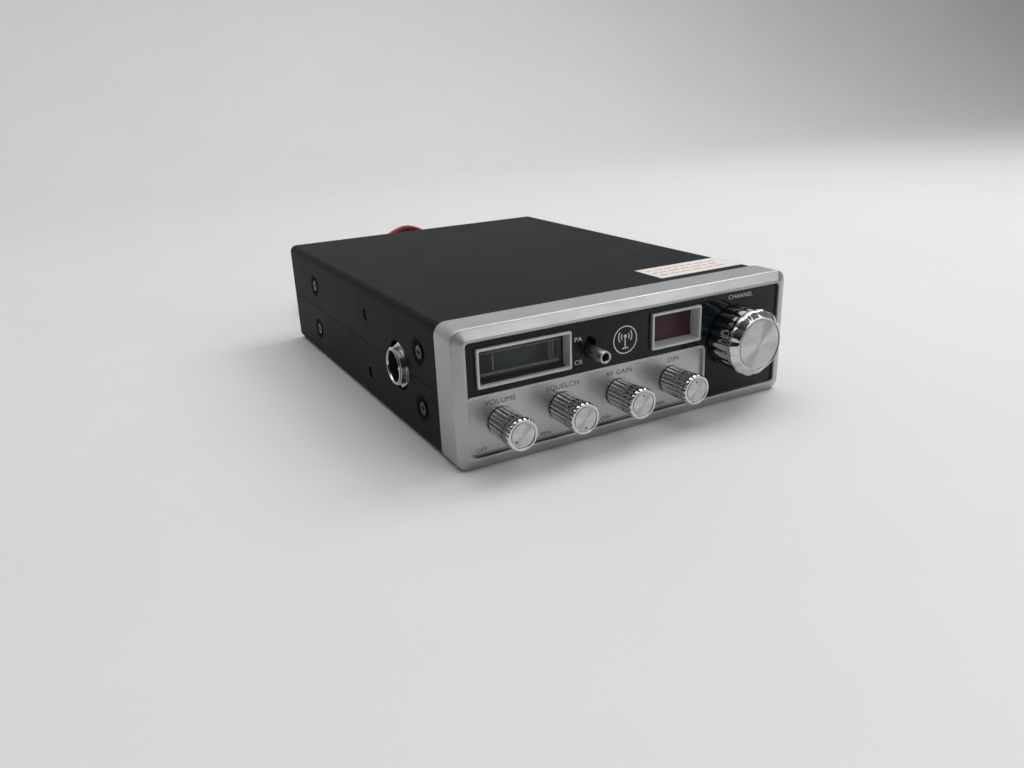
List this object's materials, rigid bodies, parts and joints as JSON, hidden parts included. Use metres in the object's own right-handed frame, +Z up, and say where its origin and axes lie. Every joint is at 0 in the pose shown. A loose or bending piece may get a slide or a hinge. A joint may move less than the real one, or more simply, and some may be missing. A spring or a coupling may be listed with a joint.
{
  "type": "mobile transceiver",
  "caption": "Dashboard two-way radio: flat steel clamshell case, silver front with meter and channel windows, small knobs, a channel knob, a mode lever and a side microphone socket.",
  "frame": {"origin": "on the surface that the radio stands on, under the middle of its box without the power lead", "axes": "+Z up, the front panel faces -Y, +X to the right as seen from the front"},
  "size_m": [0.1688, 0.3148, 0.0545],
  "materials": {
    "cover_paint": "satin black textured paint",
    "zinc_steel": "zinc plated",
    "rear_paint": "black paint",
    "silver_moulding": "satin silver",
    "gloss_black": "gloss",
    "brushed_aluminium": "brushed",
    "red_filter": "gloss",
    "black_plastic": "matt",
    "clear_lens": "clear",
    "scale_print": "printed",
    "needle_white": "white",
    "green_board": "solder mask",
    "digit_block": "gloss",
    "board_resin": "satin",
    "can_metal": "satin",
    "capacitor_sleeve": "sleeve",
    "chip_black": "matt",
    "transformer_core": "varnished",
    "speaker_steel": "zinc plated",
    "magnet_ferrite": "matt",
    "cone_paper": "matt",
    "chrome": "polished",
    "spun_aluminium": "spun",
    "nickel": "bright",
    "silver_pins": "bright",
    "ptfe": "satin",
    "brass_contact": "bright",
    "black_rubber": "matt",
    "red_pvc": "satin",
    "plug_nylon": "satin",
    "black_screws": "black",
    "label_paper": "gloss label"
  },
  "bodies": {
    "root": {"top_cover": "cover_paint", "bottom_cover": "cover_paint", "left_rail": "zinc_steel", "right_rail": "zinc_steel", "front_plate": "zinc_steel", "rear_panel": "rear_paint", "front_bezel": "silver_moulding", "black_fascia": "gloss_black", "control_plate": "brushed_aluminium", "display_window": "red_filter", "meter_case": "black_plastic", "meter_lens": "clear_lens", "meter_scale": "scale_print", "display_board": "green_board", "display_digits": "digit_block", "main_board": "board_resin", "if_cans": "can_metal", "capacitors": "capacitor_sleeve", "chips": "chip_black", "audio_transformer": "transformer_core", "power_transistors": "chip_black", "speaker_basket": "speaker_steel", "speaker_magnet": "magnet_ferrite", "speaker_cone": "cone_paper", "pot_bodies": "zinc_steel", "channel_switch_body": "board_resin", "mode_switch_body": "black_plastic", "panel_nuts": "nickel", "mic_socket_shell": "nickel", "mic_socket_insert": "black_plastic", "mic_socket_pins": "silver_pins", "antenna_socket": "nickel", "antenna_insulator": "ptfe", "antenna_contact": "brass_contact", "jack_sockets": "black_plastic", "strain_relief": "black_rubber", "power_lead": "red_pvc", "power_lead_coil": "red_pvc", "fuse_holder": "black_plastic", "power_plug": "plug_nylon", "cover_screws": "black_screws", "chassis_screws": "zinc_steel", "top_label": "label_paper"},
    "volume_control": {"volume_knob": "chrome", "volume_cap": "spun_aluminium", "volume_shaft": "zinc_steel"},
    "squelch_control": {"squelch_knob": "chrome", "squelch_cap": "spun_aluminium", "squelch_shaft": "zinc_steel"},
    "gain_control": {"gain_knob": "chrome", "gain_cap": "spun_aluminium", "gain_shaft": "zinc_steel"},
    "dimmer_control": {"dimmer_knob": "chrome", "dimmer_cap": "spun_aluminium", "dimmer_shaft": "zinc_steel"},
    "channel_control": {"channel_knob": "chrome", "channel_cap": "spun_aluminium", "channel_shaft": "zinc_steel"},
    "mode_lever": {"mode_lever": "chrome"},
    "meter_pointer": {"meter_pointer": "needle_white"}
  },
  "joints": [
    {"name": "volume_turn", "type": "hinge", "parent": "root", "child": "volume_control", "pos_m": [-0.06015, -0.114, 0.0168], "axis": [0, 1, 0], "range_deg": [0, 300]},
    {"name": "squelch_turn", "type": "hinge", "parent": "root", "child": "squelch_control", "pos_m": [-0.03365, -0.114, 0.0168], "axis": [0, 1, 0], "range_deg": [-30, 270]},
    {"name": "gain_turn", "type": "hinge", "parent": "root", "child": "gain_control", "pos_m": [-0.00715, -0.114, 0.0168], "axis": [0, 1, 0], "range_deg": [-150, 150]},
    {"name": "dimmer_turn", "type": "hinge", "parent": "root", "child": "dimmer_control", "pos_m": [0.01935, -0.114, 0.0168], "axis": [0, 1, 0], "range_deg": [-150, 150]},
    {"name": "channel_turn", "type": "hinge", "parent": "root", "child": "channel_control", "pos_m": [0.05085, -0.114, 0.0303], "axis": [0, 1, 0], "continuous": true},
    {"name": "mode_slide", "type": "slide", "parent": "root", "child": "mode_lever", "axis": [0, 0, 1], "range_m": [0, 0.0032]},
    {"name": "meter_needle", "type": "hinge", "parent": "root", "child": "meter_pointer", "pos_m": [-0.05015, -0.0726, 0.0392], "axis": [0, 0, 1], "range_deg": [0, 44], "stiffness_Nm_per_rad": 0.00002, "springref_deg": -11.46}
  ]
}
